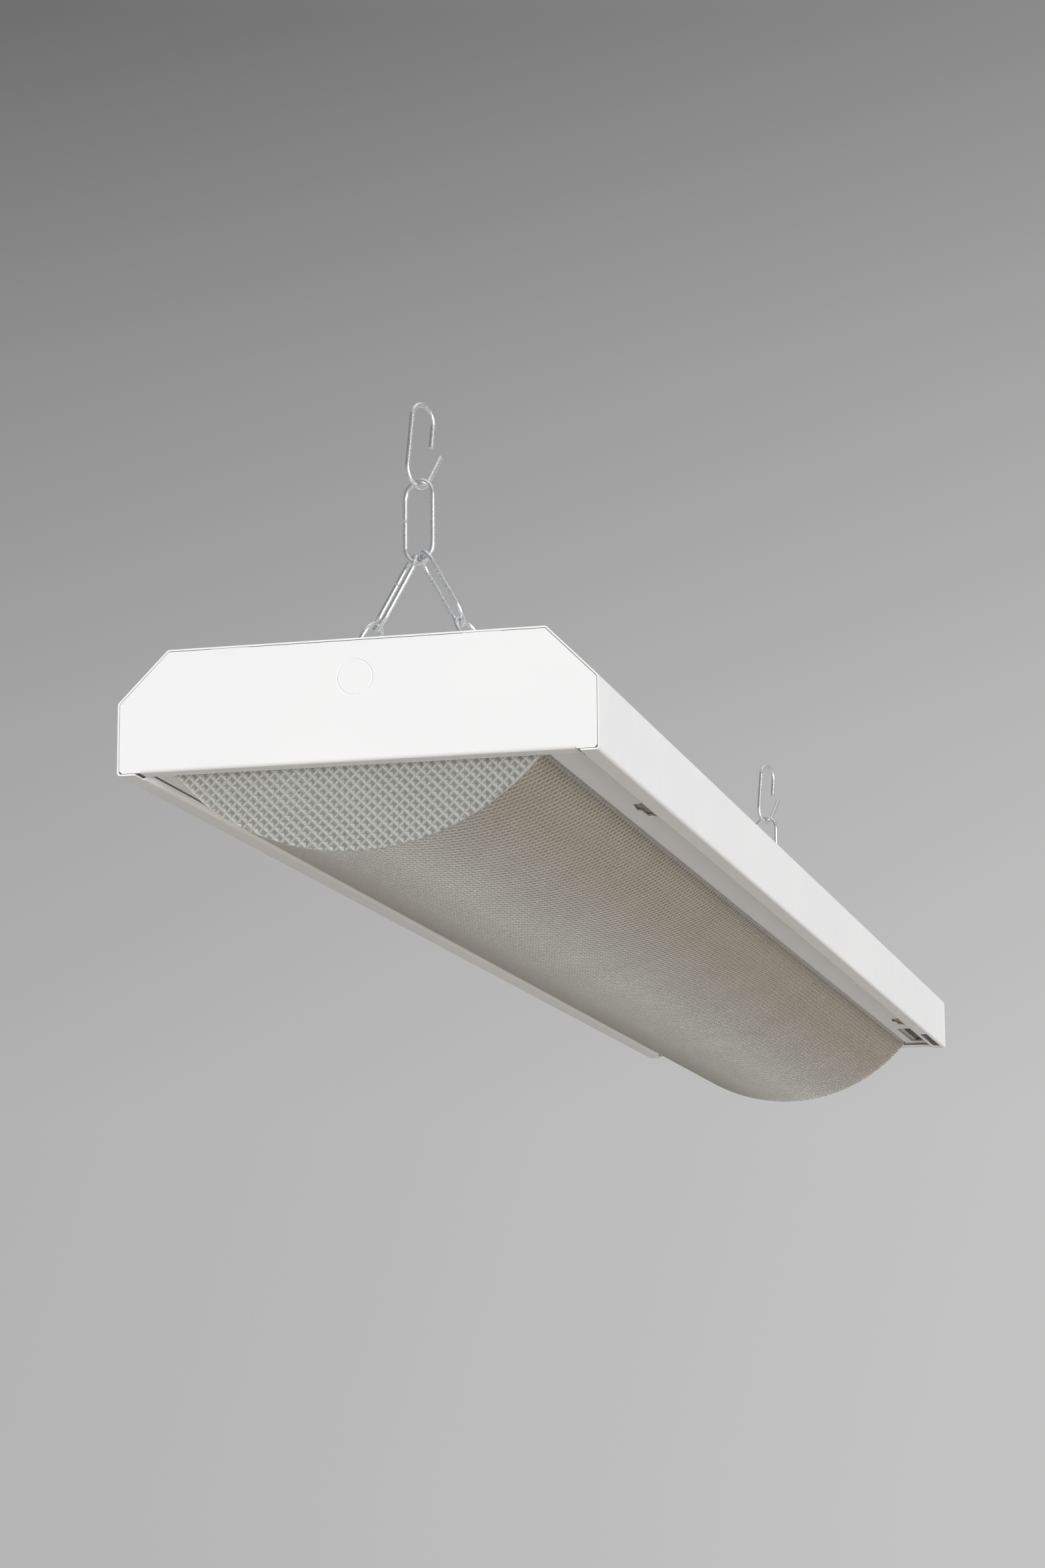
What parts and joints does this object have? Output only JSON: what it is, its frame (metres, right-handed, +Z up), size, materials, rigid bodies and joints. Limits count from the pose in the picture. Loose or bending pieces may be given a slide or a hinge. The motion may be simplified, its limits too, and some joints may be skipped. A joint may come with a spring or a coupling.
{
  "type": "hanging shop light",
  "caption": "Long white sheet-steel lamp housing on short chain hangers, with tube lamps behind a bowed prismatic lens that swings down on side hinges.",
  "frame": {"origin": "midway between the axes of the two hangers, at the height where the hooks bear on the rail or ceiling eye they hang from", "axes": "+X along the light towards its far end, +Y to its left, +Z up"},
  "size_m": [1.226, 0.24, 0.2532],
  "materials": {
    "chain_zinc": "bright zinc-plated wire, lightly scuffed",
    "white_enamel": "smooth white baked enamel",
    "screw_zinc": "zinc plated",
    "ballast_steel": "plain grey coating",
    "holder_plastic": "moulded white",
    "rotor_plastic": "moulded ivory",
    "lead_sleeve": "pale yellow insulation",
    "connector_plastic": "moulded orange",
    "ground_green": "green coating",
    "hinge_steel": "olive plated spring strip",
    "pin_steel": "bright steel wire",
    "lens_plastic": "clear prismatic moulding, warm grey in use",
    "lens_end_plastic": "clear prismatic moulding",
    "spring_steel": "blued spring strip",
    "lamp_glass": "white coated glass, unlit",
    "cap_aluminium": "satin",
    "pin_brass": "bright"
  },
  "bodies": {
    "hanging_hooks": {"near_hook": "chain_zinc", "far_hook": "chain_zinc"},
    "near_top_link": {"near_top_link": "chain_zinc"},
    "far_top_link": {"far_top_link": "chain_zinc"},
    "near_chain": {"near_left_arm_link": "chain_zinc", "near_right_arm_link": "chain_zinc", "near_left_end_link": "chain_zinc", "near_right_end_link": "chain_zinc"},
    "far_chain": {"far_left_arm_link": "chain_zinc", "far_right_arm_link": "chain_zinc", "far_left_end_link": "chain_zinc", "far_right_end_link": "chain_zinc"},
    "lens_door": {"lens": "lens_plastic", "near_lens_end": "lens_end_plastic", "far_lens_end": "lens_end_plastic", "left_rail": "white_enamel", "right_rail": "white_enamel", "hinge_leaves": "hinge_steel", "lens_catches": "spring_steel"},
    "left_lamp": {"left_lamp_tube": "lamp_glass", "left_lamp_caps": "cap_aluminium", "left_lamp_pins": "pin_brass", "near_left_rotor": "rotor_plastic", "far_left_rotor": "rotor_plastic"},
    "right_lamp": {"right_lamp_tube": "lamp_glass", "right_lamp_caps": "cap_aluminium", "right_lamp_pins": "pin_brass", "near_right_rotor": "rotor_plastic", "far_right_rotor": "rotor_plastic"},
    "housing": {"housing": "white_enamel", "near_end_plate": "white_enamel", "far_end_plate": "white_enamel", "end_plate_screws": "screw_zinc", "ballast": "ballast_steel", "ballast_screws": "screw_zinc", "channel_cover": "white_enamel", "cover_screws": "screw_zinc", "near_left_lampholder": "holder_plastic", "near_right_lampholder": "holder_plastic", "far_left_lampholder": "holder_plastic", "far_right_lampholder": "holder_plastic", "lamp_leads": "lead_sleeve", "wire_connectors": "connector_plastic", "ground_screw": "ground_green", "hinge_brackets": "hinge_steel", "hinge_pins": "pin_steel"}
  },
  "joints": [
    {"name": "near_side_swing", "type": "hinge", "parent": "hanging_hooks", "child": "near_top_link", "pos_m": [-0.498, 0, -0.04161], "axis": [1, 0, 0], "range_deg": [-20, 20]},
    {"name": "far_side_swing", "type": "hinge", "parent": "hanging_hooks", "child": "far_top_link", "pos_m": [0.498, 0, -0.04161], "axis": [1, 0, 0], "range_deg": [-20, 20]},
    {"name": "near_end_swing", "type": "hinge", "parent": "near_top_link", "child": "near_chain", "pos_m": [-0.498, 0, -0.08231], "axis": [0, 1, 0], "range_deg": [-12, 12]},
    {"name": "far_end_swing", "type": "hinge", "parent": "far_top_link", "child": "far_chain", "pos_m": [0.498, 0, -0.08231], "axis": [0, 1, 0], "range_deg": [-12, 12]},
    {"name": "housing_level", "type": "hinge", "parent": "near_chain", "child": "housing", "pos_m": [-0.498, 0, -0.14435], "axis": [0, 1, 0], "range_deg": [-12, 12]},
    {"name": "lens_swing", "type": "hinge", "parent": "housing", "child": "lens_door", "pos_m": [0, -0.107, -0.20599], "axis": [-1, 0, 0], "range_deg": [0, 90]},
    {"name": "left_lamp_turn", "type": "hinge", "parent": "housing", "child": "left_lamp", "pos_m": [0, 0.041, -0.19049], "axis": [1, 0, 0], "range_deg": [0, 90]},
    {"name": "right_lamp_turn", "type": "hinge", "parent": "housing", "child": "right_lamp", "pos_m": [0, -0.041, -0.19049], "axis": [1, 0, 0], "range_deg": [0, 90]}
  ],
  "couplings": [
    {"joint": "far_side_swing", "follows": "near_side_swing", "ratio": 1},
    {"joint": "far_end_swing", "follows": "near_end_swing", "ratio": 1},
    {"joint": "housing_level", "follows": "near_end_swing", "ratio": -1}
  ]
}
